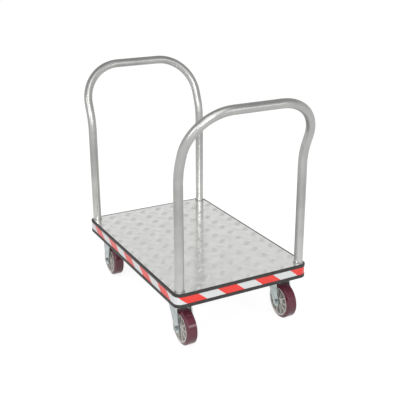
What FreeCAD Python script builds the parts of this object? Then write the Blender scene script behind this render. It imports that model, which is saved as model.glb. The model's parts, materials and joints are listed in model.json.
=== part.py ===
import FreeCAD, Part
import math
import os
import re
import Sketcher

# Platform truck: a tread plate deck on four casters, with a bent tube handle at each end.
# Millimetres, +Z up, +X towards the swivel casters, origin on the floor under the middle of the deck.

# Driving sizes.
SIZES = {
    # Deck and frame.
    "deck_length": 932.0,
    "deck_width": 609.6,
    "deck_corner_radius": 25.4,
    "plate_thickness": 4.8,
    "rail_height": 53.0,
    "rail_thickness": 9.5,
    "slot_mouth": 9.0,
    "slot_width": 16.0,
    "slot_lip": 2.4,
    "slot_depth": 5.6,
    "corner_wall": 8.7,
    "socket_wall": 1.4,
    "corner_inner_radius": 12.0,
    "socket_floor": 8.0,
    "drain_diameter": 10.0,
    "bolster_margin": 6.3,
    "bolster_thickness": 12.7,
    "bolster_inset": 8.0,
    "stiffener_spacing": 210.0,
    "stiffener_flange": 31.8,
    "stiffener_wall": 3.2,
    # Bumper and tape.
    "bumper_thickness": 8.0,
    "bumper_drop": 2.0,
    "bumper_lip": 0.3,
    "bumper_edge_radius": 1.8,
    "recess_depth": 2.4,
    "tape_height": 32.4,
    "tape_rise": 1.5,
    "tape_thickness": 0.8,
    "tape_gap": 0.3,
    "rib_clearance": 0.3,
    # Handles.
    "tube_diameter": 38.1,
    "tube_wall": 3.0,
    "tube_clearance": 0.2,
    "handle_height": 990.0,
    "lean_rise": 242.0,
    "kink_radius": 250.0,
    "lean_angle": 22.5,
    "handle_corner_radius": 178.0,
    # Caster stations.
    "caster_end_inset": 111.0,
    "caster_side_inset": 64.3,
    "caster_trail": 48.0,
    "wheel_headroom": 19.1,
    # Caster top plates and their bolts.
    "top_plate_margin_x": 11.1,
    "top_plate_margin_y": 17.4,
    "top_plate_thickness": 6.4,
    "top_plate_corner": 9.0,
    "bolt_spacing_x": 92.1,
    "bolt_spacing_y": 66.7,
    "bolt_diameter": 9.5,
    "bolt_clearance": 0.4,
    "bolt_head_flats": 14.3,
    "bolt_head_height": 6.2,
    "bolt_nut_height": 8.2,
    "bolt_tail": 3.0,
    # Swivel head.
    "race_gap": 6.6,
    "race_radius": 30.0,
    "ball_diameter": 9.5,
    "ball_clearance": 0.1,
    "ball_count": 16,
    "kingpin_diameter": 14.0,
    "kingpin_head": 25.0,
    "kingpin_head_depth": 5.0,
    "kingpin_clearance": 0.08,
    "kingpin_tail": 2.5,
    "kingpin_nut_flats": 22.0,
    "kingpin_nut_height": 9.0,
    "kingpin_nut_gap": 0.3,
    # Forks.
    "fork_base_radius": 45.0,
    "fork_base_thickness": 6.0,
    "fork_base_round": 2.4,
    "leg_thickness": 5.0,
    "leg_top_width": 68.0,
    "leg_end_radius": 21.5,
    "leg_bend_radius": 6.0,
    # Wheels.
    "wheel_diameter": 152.4,
    "tread_width": 37.0,
    "tread_thickness": 14.2,
    "tread_shoulder": 2.5,
    "rim_width": 50.0,
    "rim_thickness": 5.0,
    "web_thickness": 20.0,
    "boss_diameter": 44.0,
    "hub_length": 60.0,
    "hub_rib_count": 10,
    "hub_rib_thickness": 4.0,
    "hub_rib_boss_reach": 44.0,
    "hub_rib_rim_reach": 44.0,
    "roller_diameter": 5.0,
    "roller_count": 10,
    "roller_clearance": 0.1,
    "cage_thickness": 3.0,
    "cage_clearance": 0.3,
    "washer_diameter": 36.0,
    "washer_thickness": 2.0,
    "washer_clearance": 0.3,
    # Axles.
    "axle_diameter": 12.7,
    "axle_clearance": 0.15,
    "bushing_diameter": 19.0,
    "axle_head_flats": 19.0,
    "axle_head_height": 8.0,
    "axle_nut_height": 10.5,
    "axle_tail": 3.5,
}

# Sizes that follow from the driving ones.
DERIVED = {
    "swivel_head": "=fork_base_thickness + race_gap + top_plate_thickness",
    "caster_height": "=wheel_diameter + wheel_headroom + swivel_head",
    "caster_x": "=deck_length / 2 - caster_end_inset",
    "caster_y": "=deck_width / 2 - caster_side_inset",
    "top_plate_length": "=bolt_spacing_x + 2 * top_plate_margin_x",
    "top_plate_width": "=bolt_spacing_y + 2 * top_plate_margin_y",
    "bolster_width": "=top_plate_length + 2 * bolster_margin",
    "rail_bottom": "=caster_height + bolster_thickness",
    "deck_underside": "=rail_bottom + rail_height",
    "deck_top": "=deck_underside + plate_thickness",
    "bumper_bottom": "=rail_bottom - bumper_drop",
    "bumper_height": "=deck_top + bumper_lip - bumper_bottom",
    "tape_bottom": "=(bumper_height - tape_height) / 2 + tape_rise",
    "recess_offset": "=bumper_thickness - recess_depth",
    "tube_radius": "=tube_diameter / 2",
    "socket_radius": "=tube_radius + tube_clearance",
    "handle_inset": "=deck_corner_radius - (deck_corner_radius - socket_wall - socket_radius) / sqrt(2)",
    "corner_size": "=handle_inset + socket_radius + corner_wall",
    "handle_x": "=deck_length / 2 - handle_inset",
    "handle_y": "=deck_width / 2 - handle_inset",
    "tube_foot": "=rail_bottom + socket_floor",
    "kink_height": "=handle_height - lean_rise",
    "bar_x": "=lean_rise * tan(lean_angle)",
    "kink_tangent": "=kink_radius * tan(lean_angle / 2)",
    "top_plate_underside": "=caster_height - top_plate_thickness",
    "fork_top": "=top_plate_underside - race_gap",
    "fork_base_underside": "=fork_top - fork_base_thickness",
    "ball_height": "=top_plate_underside - race_gap / 2",
    "race_groove_radius": "=ball_diameter / 2 + ball_clearance",
    "kingpin_radius": "=kingpin_diameter / 2",
    "wheel_radius": "=wheel_diameter / 2",
    "rim_radius": "=wheel_radius - tread_thickness",
    "rim_inner_radius": "=rim_radius - rim_thickness",
    "boss_radius": "=boss_diameter / 2",
    "bushing_radius": "=bushing_diameter / 2",
    "roller_pitch": "=bushing_radius + roller_clearance + roller_diameter / 2",
    "hub_bore_radius": "=roller_pitch + roller_diameter / 2 + roller_clearance",
    "fork_gap": "=hub_length + 2 * washer_thickness + 2 * washer_clearance",
    "fork_width": "=fork_gap + 2 * leg_thickness",
    "front_wheel_x": "=caster_x + caster_trail",
}

doc = FreeCAD.newDocument("platform_truck")
sheet = doc.addObject("Spreadsheet::Sheet", "Sizes")
for row, (alias, content) in enumerate({**SIZES, **DERIVED}.items(), start=1):
    sheet.set(f"A{row}", alias)
    sheet.set(f"B{row}", str(content))
    sheet.setAlias(f"B{row}", alias)
doc.recompute()

UP = FreeCAD.Vector(0, 0, 1)
# Turns that lay an upright piece along +Y or along -Y.
ALONG_Y = {sign: FreeCAD.Rotation(FreeCAD.Vector(1, 0, 0), turn) for sign, turn in (("+", -90), ("-", 90))}
OPPOSITE = {"+": "-", "-": "+"}
SIGNS = [(sign_x, sign_y) for sign_x in "+-" for sign_y in "+-"]
parts = []


def size(formula):
    """The present value of a formula in the sheet's names."""
    return float(sheet.evalExpression(formula))


def bound(formula):
    """The formula with every size written as a cell of the sheet."""
    return re.sub(r"[a-z]+(_[a-z]+)+", lambda name: "Sizes." + name.group(), formula)


def place(thing, x="0", y="0", z="0", rotation=None):
    """Set where an object stands, each coordinate bound to a formula."""
    if rotation is not None:
        thing.Placement = FreeCAD.Placement(FreeCAD.Vector(), rotation)
    for axis, formula in zip("xyz", (x, y, z)):
        thing.setExpression(f"Placement.Base.{axis}", bound(formula))


def about_z(degrees):
    return FreeCAD.Rotation(UP, degrees)


def new_body(label):
    body = doc.addObject("PartDesign::Body", label)
    body.Label = label
    parts.append(body)
    return body


def origin_feature(body, role):
    return next(feature for feature in body.Origin.OriginFeatures if feature.Role == role)


def new_sketch(body, plane, offset="0"):
    """A sketch on one of the body's own origin planes, moved along that plane's normal."""
    sketch = body.newObject("Sketcher::SketchObject", f"{body.Name}_sketch")
    sketch.AttachmentSupport = [(origin_feature(body, plane), "")]
    sketch.MapMode = "FlatFace"
    sketch.setExpression("AttachmentOffset.Base.z", bound(offset))
    return sketch


def pin_point(sketch, geometry, point, x, y):
    """Hold a point of the sketch at two formulas."""
    for kind, formula, axis in (("DistanceX", x, -2), ("DistanceY", y, -1)):
        if formula == "0":
            sketch.addConstraint(Sketcher.Constraint("PointOnObject", geometry, point, axis))
        else:
            held = Sketcher.Constraint(kind, -1, 1, geometry, point, size(formula))
            index = sketch.addConstraint(held)
            sketch.setExpression(f"Constraints[{index}]", bound(formula))


def hold_radius(sketch, geometry, radius):
    index = sketch.addConstraint(Sketcher.Constraint("Radius", geometry, size(radius)))
    sketch.setExpression(f"Constraints[{index}]", bound(radius))


def vector(x, y):
    return FreeCAD.Vector(size(x), size(y), 0)


def draw_outline(sketch, points):
    """A closed run of straight lines through points given as pairs of formulas."""
    first = sketch.GeometryCount
    count = len(points)
    for here, there in zip(points, points[1:] + points[:1]):
        sketch.addGeometry(Part.LineSegment(vector(*here), vector(*there)))
    for step in range(count):
        line, following = first + step, first + (step + 1) % count
        sketch.addConstraint(Sketcher.Constraint("Coincident", line, 2, following, 1))
        pin_point(sketch, line, 1, *points[step])


def draw_box(sketch, left, bottom, right, top):
    draw_outline(sketch, [(left, bottom), (right, bottom), (right, top), (left, top)])


def draw_circle(sketch, x, y, radius):
    index = sketch.addGeometry(Part.Circle(vector(x, y), UP, size(radius)))
    pin_point(sketch, index, 3, x, y)
    hold_radius(sketch, index, radius)


def draw_rounded_box(sketch, length, width, radius):
    """A rectangle centred on the origin with four equal round corners."""
    corner_x, corner_y = f"({length}) / 2 - ({radius})", f"({width}) / 2 - ({radius})"
    quarter = math.pi / 2
    arcs = []
    for turn, (sign_x, sign_y) in enumerate((("", ""), ("-", ""), ("-", "-"), ("", "-"))):
        centre = (f"{sign_x}({corner_x})", f"{sign_y}({corner_y})")
        circle = Part.Circle(vector(*centre), UP, size(radius))
        arc = sketch.addGeometry(Part.ArcOfCircle(circle, turn * quarter, (turn + 1) * quarter))
        pin_point(sketch, arc, 3, *centre)
        hold_radius(sketch, arc, radius)
        arcs.append(arc)
    for arc, following in zip(arcs, arcs[1:] + arcs[:1]):
        start, end = sketch.getPoint(arc, 2), sketch.getPoint(following, 1)
        line = sketch.addGeometry(Part.LineSegment(start, end))
        sketch.addConstraint(Sketcher.Constraint("Tangent", arc, 2, line, 1))
        sketch.addConstraint(Sketcher.Constraint("Tangent", line, 2, following, 1))


def pad(body, sketch, length, symmetric=False):
    feature = body.newObject("PartDesign::Pad", f"{body.Name}_pad")
    feature.Profile = sketch
    feature.setExpression("Length", bound(length))
    feature.SideType = "Symmetric" if symmetric else "One side"
    doc.recompute()
    return feature


def check_cut(body, volume, feature):
    doc.recompute()
    if not body.Shape.Volume < volume - 1e-6:
        raise RuntimeError(f"{feature.Label} cuts nothing")
    return feature


def pocket(body, sketch, length=None, symmetric=False, upwards=False):
    """Cut a sketch into the body: through everything, or to a length."""
    volume = body.Shape.Volume
    feature = body.newObject("PartDesign::Pocket", f"{body.Name}_pocket")
    feature.Profile = sketch
    feature.Reversed = upwards
    feature.SideType = "Symmetric" if symmetric else "One side"
    if length is None:
        feature.Type = "ThroughAll"
    else:
        feature.setExpression("Length", bound(length))
    return check_cut(body, volume, feature)


def revolve(body, sketch, axis="V_Axis"):
    feature = body.newObject("PartDesign::Revolution", f"{body.Name}_revolution")
    feature.Profile = sketch
    feature.ReferenceAxis = (sketch, [axis])
    feature.Angle = 360
    doc.recompute()
    return feature


def groove(body, sketch, axis="V_Axis"):
    volume = body.Shape.Volume
    feature = body.newObject("PartDesign::Groove", f"{body.Name}_groove")
    feature.Profile = sketch
    feature.ReferenceAxis = (sketch, [axis])
    feature.Angle = 360
    return check_cut(body, volume, feature)


def fillet(body, radius, wanted):
    """Round the edges of the body's last feature for which wanted(edge) holds."""
    base = body.Tip
    edges = [f"Edge{i}" for i, edge in enumerate(base.Shape.Edges, start=1) if wanted(edge)]
    if not edges:
        raise RuntimeError(f"{body.Label} has no edge to round")
    feature = body.newObject("PartDesign::Fillet", f"{body.Name}_fillet")
    feature.Base = (base, edges)
    feature.setExpression("Radius", bound(radius))
    doc.recompute()
    return feature


def near(value, formula, tolerance=1e-3):
    return abs(value - size(formula)) < tolerance


def is_upright(edge):
    return edge.BoundBox.XLength < 1e-6 and edge.BoundBox.YLength < 1e-6


def is_level(edge, height):
    return edge.BoundBox.ZLength < 1e-6 and near(edge.CenterOfMass.z, height)


# Round and hexagonal stock for the small pieces.
def solid_cylinder(name, radius, height):
    cylinder = doc.addObject("Part::Cylinder", name)
    cylinder.setExpression("Radius", bound(radius))
    cylinder.setExpression("Height", bound(height))
    return cylinder


def solid_hexagon(name, flats, height):
    prism = doc.addObject("Part::Prism", name)
    prism.Polygon = 6
    prism.setExpression("Circumradius", bound(f"{flats} / 2 / cos(30)"))
    prism.setExpression("Height", bound(height))
    return prism


def joined(name, first, second):
    fuse = doc.addObject("Part::Fuse", name)
    fuse.Base, fuse.Tool = first, second
    return fuse


def bored(name, outer, inner):
    cut = doc.addObject("Part::Cut", name)
    cut.Base, cut.Tool = outer, inner
    return cut


def new_group(label, members):
    """A node that holds several separate solids."""
    group = doc.addObject("Part::Compound", label)
    group.Label = label
    group.Links = members
    parts.append(group)
    return group


def new_part(label, thing):
    thing.Label = label
    parts.append(thing)
    return thing


# Deck and frame.
def make_deck_plate():
    body = new_body("deck_plate")
    outline = new_sketch(body, "XY_Plane")
    draw_rounded_box(outline, "deck_length", "deck_width", "deck_corner_radius")
    pad(body, outline, "plate_thickness")
    holes = new_sketch(body, "XY_Plane")
    for sign_x, sign_y in SIGNS:
        draw_circle(holes, f"{sign_x}handle_x", f"{sign_y}handle_y", "socket_radius")
    pocket(body, holes, upwards=True)
    place(body, z="deck_underside")


def make_rail(label, length, x, y, turn):
    """An extruded edge rail with a T slot in its outer face, drawn with that face towards +Y."""
    body = new_body(label)
    section = new_sketch(body, "YZ_Plane")
    middle = "rail_height / 2"
    draw_outline(section, [
        ("-rail_thickness", "0"),
        ("0", "0"),
        ("0", f"{middle} - slot_mouth / 2"),
        ("-slot_lip", f"{middle} - slot_mouth / 2"),
        ("-slot_lip", f"{middle} - slot_width / 2"),
        ("-slot_depth", f"{middle} - slot_width / 2"),
        ("-slot_depth", f"{middle} + slot_width / 2"),
        ("-slot_lip", f"{middle} + slot_width / 2"),
        ("-slot_lip", f"{middle} + slot_mouth / 2"),
        ("0", f"{middle} + slot_mouth / 2"),
        ("0", "rail_height"),
        ("-rail_thickness", "rail_height"),
    ])
    pad(body, section, length, symmetric=True)
    place(body, x, y, "rail_bottom", about_z(turn))


def make_corner_socket(label, sign_x, sign_y, turn):
    """A cast corner block with the socket that a handle tube stands in."""
    body = new_body(label)
    block = new_sketch(body, "XY_Plane")
    draw_box(block, "-corner_size", "-corner_size", "0", "0")
    pad(body, block, "rail_height")
    outer, inner = vector("0", "0"), vector("-corner_size", "-corner_size")

    def stands_at(corner):
        return lambda edge: is_upright(edge) and edge.CenterOfMass.sub(
            FreeCAD.Vector(corner.x, corner.y, edge.CenterOfMass.z)).Length < 1e-3

    fillet(body, "deck_corner_radius", stands_at(outer))
    fillet(body, "corner_inner_radius", stands_at(inner))
    socket = new_sketch(body, "XY_Plane", "rail_height")
    draw_circle(socket, "-handle_inset", "-handle_inset", "socket_radius")
    pocket(body, socket, "rail_height - socket_floor")
    drain = new_sketch(body, "XY_Plane", "rail_height")
    draw_circle(drain, "-handle_inset", "-handle_inset", "drain_diameter / 2")
    pocket(body, drain)
    place(body, f"{sign_x}deck_length / 2", f"{sign_y}deck_width / 2", "rail_bottom", about_z(turn))


def make_bolster(label, sign):
    """A flat bar across the frame, drilled for the bolts of two casters."""
    body = new_body(label)
    bar = new_sketch(body, "XY_Plane")
    half = "deck_width / 2 - bolster_inset"
    draw_box(bar, "-bolster_width / 2", f"-({half})", "bolster_width / 2", half)
    pad(body, bar, "bolster_thickness")
    holes = new_sketch(body, "XY_Plane")
    for caster in "+-":
        for x, y in bolt_places("0", f"{caster}caster_y"):
            draw_circle(holes, x, y, "bolt_diameter / 2 + bolt_clearance")
    pocket(body, holes, upwards=True)
    place(body, f"{sign}caster_x", "0", "caster_height")


def make_stiffener(label, sign, turn):
    """A channel under the plate from end rail to end rail, its open side to the middle."""
    body = new_body(label)
    section = new_sketch(body, "YZ_Plane")
    draw_outline(section, [
        ("-stiffener_flange", "0"),
        ("0", "0"),
        ("0", "rail_height"),
        ("-stiffener_flange", "rail_height"),
        ("-stiffener_flange", "rail_height - stiffener_wall"),
        ("-stiffener_wall", "rail_height - stiffener_wall"),
        ("-stiffener_wall", "stiffener_wall"),
        ("-stiffener_flange", "stiffener_wall"),
    ])
    pad(body, section, "deck_length - 2 * rail_thickness", symmetric=True)
    place(body, "0", f"{sign}stiffener_spacing / 2", "rail_bottom", about_z(turn))


def draw_deck_loop(sketch, offset):
    """The deck's outline, moved outwards by an offset."""
    length, width = f"deck_length + 2 * ({offset})", f"deck_width + 2 * ({offset})"
    draw_rounded_box(sketch, length, width, f"deck_corner_radius + {offset}")


def draw_bumper_rib(sketch, face, outward):
    """The T rib on the bumper's back, which fills the rail's slot with a little play."""
    middle = "rail_bottom + rail_height / 2 - bumper_bottom"
    stem = "(slot_mouth / 2 - rib_clearance)"
    head = "(slot_width / 2 - rib_clearance)"
    inwards = "-" if outward == "+" else "+"
    root = f"{outward}{face}"
    neck = f"{outward}{face} {inwards} (slot_lip + rib_clearance)"
    end = f"{outward}{face} {inwards} (slot_depth - rib_clearance)"
    draw_outline(sketch, [
        (root, f"{middle} - {stem}"),
        (neck, f"{middle} - {stem}"),
        (neck, f"{middle} - {head}"),
        (end, f"{middle} - {head}"),
        (end, f"{middle} + {head}"),
        (neck, f"{middle} + {head}"),
        (neck, f"{middle} + {stem}"),
        (root, f"{middle} + {stem}"),
    ])


def make_bumper():
    """A rubber extrusion round the deck: two round beads with a recess for the tape between."""
    body = new_body("bumper")
    ring = new_sketch(body, "XY_Plane")
    draw_deck_loop(ring, "bumper_thickness")
    draw_deck_loop(ring, "0 * bumper_thickness")
    pad(body, ring, "bumper_height")
    recess = new_sketch(body, "XY_Plane", "tape_bottom")
    draw_deck_loop(recess, "bumper_thickness + recess_depth")
    draw_deck_loop(recess, "recess_offset")
    pocket(body, recess, "tape_height", upwards=True)
    for plane, face, length in (("YZ_Plane", "deck_width / 2", "deck_length"),
                                ("XZ_Plane", "deck_length / 2", "deck_width")):
        ribs = new_sketch(body, plane)
        draw_bumper_rib(ribs, face, "+")
        draw_bumper_rib(ribs, face, "-")
        pad(body, ribs, f"{length} - 2 * (corner_size + rib_clearance)", symmetric=True)
    outside = size("deck_width / 2 + bumper_thickness")
    bead_edges = ("0", "tape_bottom", "tape_bottom + tape_height", "bumper_height")

    def on_bead(edge):
        box = edge.BoundBox
        level = any(is_level(edge, height) for height in bead_edges)
        reach = max(abs(box.YMin), abs(box.YMax)) - outside
        span = max(abs(box.XMin), abs(box.XMax)) - size("deck_length / 2 + bumper_thickness")
        return level and (abs(reach) < 1e-3 or abs(span) < 1e-3)

    fillet(body, "bumper_edge_radius", on_bead)
    place(body, z="bumper_bottom")


def make_tape():
    body = new_body("reflective_tape")
    ring = new_sketch(body, "XY_Plane", "tape_bottom + tape_gap")
    draw_deck_loop(ring, "recess_offset + tape_thickness")
    draw_deck_loop(ring, "recess_offset")
    pad(body, ring, "tape_height - 2 * tape_gap")
    place(body, z="bumper_bottom")


# Handles.
def draw_tube_section(sketch, x, y):
    draw_circle(sketch, x, y, "tube_radius")
    draw_circle(sketch, x, y, "tube_radius - tube_wall")


def draw_bent_path(sketch, start, corner, end, radius):
    """Two straight runs joined at the corner by a tangent arc."""
    first, knee, last = vector(*start), vector(*corner), vector(*end)
    into, away = (knee - first).normalize(), (last - knee).normalize()
    turn = into.getAngle(away)
    reach = size(radius) * math.tan(turn / 2)
    side = 1 if into.cross(away).z > 0 else -1
    centre = knee - into * reach + FreeCAD.Vector(-into.y, into.x, 0) * side * size(radius)
    begin, finish = knee - into * reach, knee + away * reach
    angles = [math.atan2(p.y - centre.y, p.x - centre.x) for p in (begin, finish)]
    low, high = angles if side > 0 else angles[::-1]
    circle = Part.Circle(centre, UP, size(radius))
    run_in = sketch.addGeometry(Part.LineSegment(first, begin))
    bend = sketch.addGeometry(Part.ArcOfCircle(circle, low, high))
    run_out = sketch.addGeometry(Part.LineSegment(finish, last))
    enter, leave = (1, 2) if side > 0 else (2, 1)
    sketch.addConstraint(Sketcher.Constraint("Tangent", run_in, 2, bend, enter))
    sketch.addConstraint(Sketcher.Constraint("Tangent", bend, leave, run_out, 1))
    pin_point(sketch, run_in, 1, *start)
    pin_point(sketch, run_out, 2, *end)
    hold_radius(sketch, bend, radius)
    guide = sketch.addGeometry(Part.Point(knee))
    sketch.toggleConstruction(guide)
    pin_point(sketch, guide, 1, *corner)
    sketch.addConstraint(Sketcher.Constraint("PointOnObject", guide, 1, run_in))
    sketch.addConstraint(Sketcher.Constraint("PointOnObject", guide, 1, run_out))


def pipe(body, section, path):
    feature = body.newObject("PartDesign::AdditivePipe", f"{body.Name}_pipe")
    feature.Profile = section
    feature.Spine = path
    doc.recompute()
    return feature


def make_handle(label, sign, turn):
    """One tube: two uprights that lean outwards at the top, joined by a bar with round corners."""
    body = new_body(label)
    rise = "lean_rise / cos(lean_angle)"
    # Both runs end half way along the straight stretch of the lean.
    joint_slope = f"(({rise} - handle_corner_radius + kink_tangent) / 2)"
    # The upright, in its own upright plane.
    foot = new_sketch(body, "XY_Plane", "tube_foot")
    draw_tube_section(foot, "0", "handle_y")
    upright = new_sketch(body, "XZ_Plane", "-handle_y")
    draw_bent_path(upright, ("0", "tube_foot"), ("0", "kink_height"),
                   (f"{joint_slope} * sin(lean_angle)", f"kink_height + {joint_slope} * cos(lean_angle)"),
                   "kink_radius")
    first = pipe(body, foot, upright)
    # Half of the bar, in the plane of the lean.
    middle = new_sketch(body, "XZ_Plane")
    draw_tube_section(middle, "bar_x", "handle_height")
    half_bar = new_sketch(body, "YZ_Plane")
    half_bar.AttachmentOffset = FreeCAD.Placement(
        FreeCAD.Vector(), FreeCAD.Rotation(FreeCAD.Vector(1, 0, 0), size("lean_angle")))
    half_bar.setExpression("AttachmentOffset.Base.y", bound("kink_height"))
    half_bar.setExpression("AttachmentOffset.Rotation.Angle", bound("lean_angle"))
    draw_bent_path(half_bar, ("0", rise), ("handle_y", rise), ("handle_y", joint_slope),
                   "handle_corner_radius")
    second = pipe(body, middle, half_bar)
    mirror = body.newObject("PartDesign::Mirrored", f"{body.Name}_mirror")
    mirror.Originals = [first, second]
    mirror.MirrorPlane = (origin_feature(body, "XZ_Plane"), [""])
    body.Tip = mirror
    place(body, f"{sign}handle_x", "0", "0", about_z(turn))


# Casters.
def bolt_places(x, y):
    """The four bolts of a caster that stands at x, y."""
    return [(f"{x} {step_x} bolt_spacing_x / 2", f"{y} {step_y} bolt_spacing_y / 2")
            for step_x in "+-" for step_y in "+-"]


def make_top_plate(label, x, y, swivel):
    body = new_body(label)
    outline = new_sketch(body, "XY_Plane", "top_plate_underside")
    draw_rounded_box(outline, "top_plate_length", "top_plate_width", "top_plate_corner")
    pad(body, outline, "top_plate_thickness")
    holes = new_sketch(body, "XY_Plane", "top_plate_underside")
    for hole_x, hole_y in bolt_places("0", "0"):
        draw_circle(holes, hole_x, hole_y, "bolt_diameter / 2 + bolt_clearance")
    pocket(body, holes, upwards=True)
    if swivel:
        seat = new_sketch(body, "XZ_Plane")
        draw_outline(seat, kingpin_section("0", "top_plate_underside", "kingpin_clearance"))
        groove(body, seat)
        race = new_sketch(body, "XZ_Plane")
        draw_circle(race, "race_radius", "ball_height", "race_groove_radius")
        groove(body, race)
    place(body, x, y)


def kingpin_section(inner, bottom, play):
    """Half of the kingpin: a shank under a countersunk head that lies flush in the top plate."""
    shank, head = f"kingpin_radius + {play}", f"kingpin_head / 2 + {play}"
    shoulder = "caster_height - kingpin_head_depth"
    return [
        (inner, bottom),
        (shank, bottom),
        (shank, shoulder),
        (head, "caster_height"),
        (inner, "caster_height"),
    ]


def draw_leg(sketch, top, trail):
    """A fork leg from the side: a straight top that tapers to a round end about the axle."""
    centre = vector(trail, "wheel_radius")
    radius = size("leg_end_radius")
    corners = [vector("-leg_top_width / 2", top), vector("leg_top_width / 2", top)]
    angles = []
    for corner, side in zip(corners, (1, -1)):
        away = corner - centre
        angles.append(math.atan2(away.y, away.x) + side * math.acos(radius / away.Length))
    circle = Part.Circle(centre, UP, radius)
    end = sketch.addGeometry(Part.ArcOfCircle(circle, angles[0], angles[1] + 2 * math.pi))
    head = sketch.addGeometry(Part.LineSegment(*corners))
    front = sketch.addGeometry(Part.LineSegment(corners[1], sketch.getPoint(end, 2)))
    back = sketch.addGeometry(Part.LineSegment(sketch.getPoint(end, 1), corners[0]))
    sketch.addConstraint(Sketcher.Constraint("Coincident", head, 2, front, 1))
    sketch.addConstraint(Sketcher.Constraint("Coincident", back, 2, head, 1))
    sketch.addConstraint(Sketcher.Constraint("Tangent", front, 2, end, 2))
    sketch.addConstraint(Sketcher.Constraint("Tangent", end, 1, back, 1))
    pin_point(sketch, head, 1, "-leg_top_width / 2", top)
    pin_point(sketch, head, 2, "leg_top_width / 2", top)
    pin_point(sketch, end, 3, trail, "wheel_radius")
    hold_radius(sketch, end, "leg_end_radius")


def draw_race_section(sketch, underside, top):
    """Half of the swivel fork's round base, with its lower rim rounded by the press."""
    centre = ("fork_base_radius - fork_base_round", f"{underside} + fork_base_round")
    circle = Part.Circle(vector(*centre), UP, size("fork_base_round"))
    rim = sketch.addGeometry(Part.ArcOfCircle(circle, -math.pi / 2, 0))
    corners = [("fork_base_radius", top), ("0", top), ("0", underside)]
    ends = [sketch.getPoint(rim, 2)] + [vector(*corner) for corner in corners] + [sketch.getPoint(rim, 1)]
    lines = [sketch.addGeometry(Part.LineSegment(*pair)) for pair in zip(ends, ends[1:])]
    for line, following in zip(lines, lines[1:]):
        sketch.addConstraint(Sketcher.Constraint("Coincident", line, 2, following, 1))
    sketch.addConstraint(Sketcher.Constraint("Tangent", rim, 2, lines[0], 1))
    sketch.addConstraint(Sketcher.Constraint("Tangent", lines[-1], 2, rim, 1))
    for line, corner in zip(lines, corners):
        pin_point(sketch, line, 2, *corner)
    pin_point(sketch, rim, 3, *centre)
    hold_radius(sketch, rim, "fork_base_round")


def make_fork(label, x, y, swivel):
    """A pressed fork: two tapered legs bent down from a base, which on a swivel fork is a race."""
    body = new_body(label)
    top = "fork_top" if swivel else "top_plate_underside"
    trail = "caster_trail" if swivel else "0"
    underside = f"{top} - fork_base_thickness"
    legs = new_sketch(body, "XZ_Plane")
    draw_leg(legs, top, trail)
    pad(body, legs, "fork_width", symmetric=True)
    gap = new_sketch(body, "XZ_Plane")
    reach = f"({trail} + leg_top_width + leg_end_radius)"
    draw_box(gap, f"-{reach}", "wheel_radius - 2 * leg_end_radius", reach, underside)
    pocket(body, gap, "fork_gap", symmetric=True)

    def bend(edge):
        box = edge.BoundBox
        along = box.YLength < 1e-6 and box.ZLength < 1e-6
        return along and near(abs(box.YMin), "fork_width / 2") and near(box.ZMin, top)

    fillet(body, "leg_bend_radius", bend)
    if swivel:
        base = new_sketch(body, "XZ_Plane")
        draw_race_section(base, underside, top)
        revolve(body, base)
        pin_hole = new_sketch(body, "XY_Plane", top)
        draw_circle(pin_hole, "0", "0", "kingpin_radius + kingpin_clearance")
        pocket(body, pin_hole, "2 * fork_base_thickness")
        race = new_sketch(body, "XZ_Plane")
        draw_circle(race, "race_radius", "ball_height", "race_groove_radius")
        groove(body, race)
    axle_holes = new_sketch(body, "XZ_Plane")
    draw_circle(axle_holes, trail, "wheel_radius", "axle_diameter / 2 + axle_clearance")
    pocket(body, axle_holes, "2 * fork_width", symmetric=True)
    place(body, x, y)


def make_kingpins():
    """The two kingpins and their nuts, which hold the swivel forks up under the top plates."""
    pins, nuts = [], []
    tail = "fork_base_underside - kingpin_nut_gap - kingpin_nut_height - kingpin_tail"
    for side in "+-":
        pin = doc.addObject("PartDesign::Body", "kingpin")
        section = new_sketch(pin, "XZ_Plane")
        draw_outline(section, kingpin_section("0", tail, "0 * kingpin_clearance"))
        revolve(pin, section)
        place(pin, "caster_x", f"{side}caster_y")
        pins.append(pin)
        nut = nut_blank("kingpin_nut", "kingpin_nut_flats", "kingpin_nut_height", "kingpin_radius")
        place(nut, "caster_x", f"{side}caster_y",
              "fork_base_underside - kingpin_nut_gap - kingpin_nut_height")
        nuts.append(nut)
    new_group("kingpins", pins)
    new_group("kingpin_nuts", nuts)


def nut_blank(name, flats, height, bore):
    return bored(name, solid_hexagon(f"{name}_hexagon", flats, height),
                 solid_cylinder(f"{name}_bore", bore, height))


def make_balls(label, x, y):
    balls = []
    for index in range(int(size("ball_count"))):
        ball = doc.addObject("Part::Sphere", "ball")
        ball.setExpression("Radius", bound("ball_diameter / 2"))
        turn = f"360 * {index} / ball_count"
        place(ball, f"{x} + race_radius * cos({turn})", f"{y} + race_radius * sin({turn})", "ball_height")
        balls.append(ball)
    new_group(label, balls)


def axle_bolt(x, y, towards):
    """A hex bolt across the fork, its head on one leg and its tail past the nut on the other."""
    head = solid_hexagon("axle_head", "axle_head_flats", "axle_head_height")
    shank = solid_cylinder("axle_shank", "axle_diameter / 2",
                           "axle_head_height + fork_width + axle_nut_height + axle_tail")
    bolt = joined("axle_bolt", head, shank)
    start = f"{y} {OPPOSITE[towards]} (fork_width / 2 + axle_head_height)"
    place(bolt, x, start, "wheel_radius", ALONG_Y[towards])
    return bolt


def axle_nut(x, y, towards):
    nut = nut_blank("axle_nut", "axle_head_flats", "axle_nut_height", "axle_diameter / 2")
    place(nut, x, f"{y} {towards} fork_width / 2", "wheel_radius", ALONG_Y[towards])
    return nut


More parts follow.
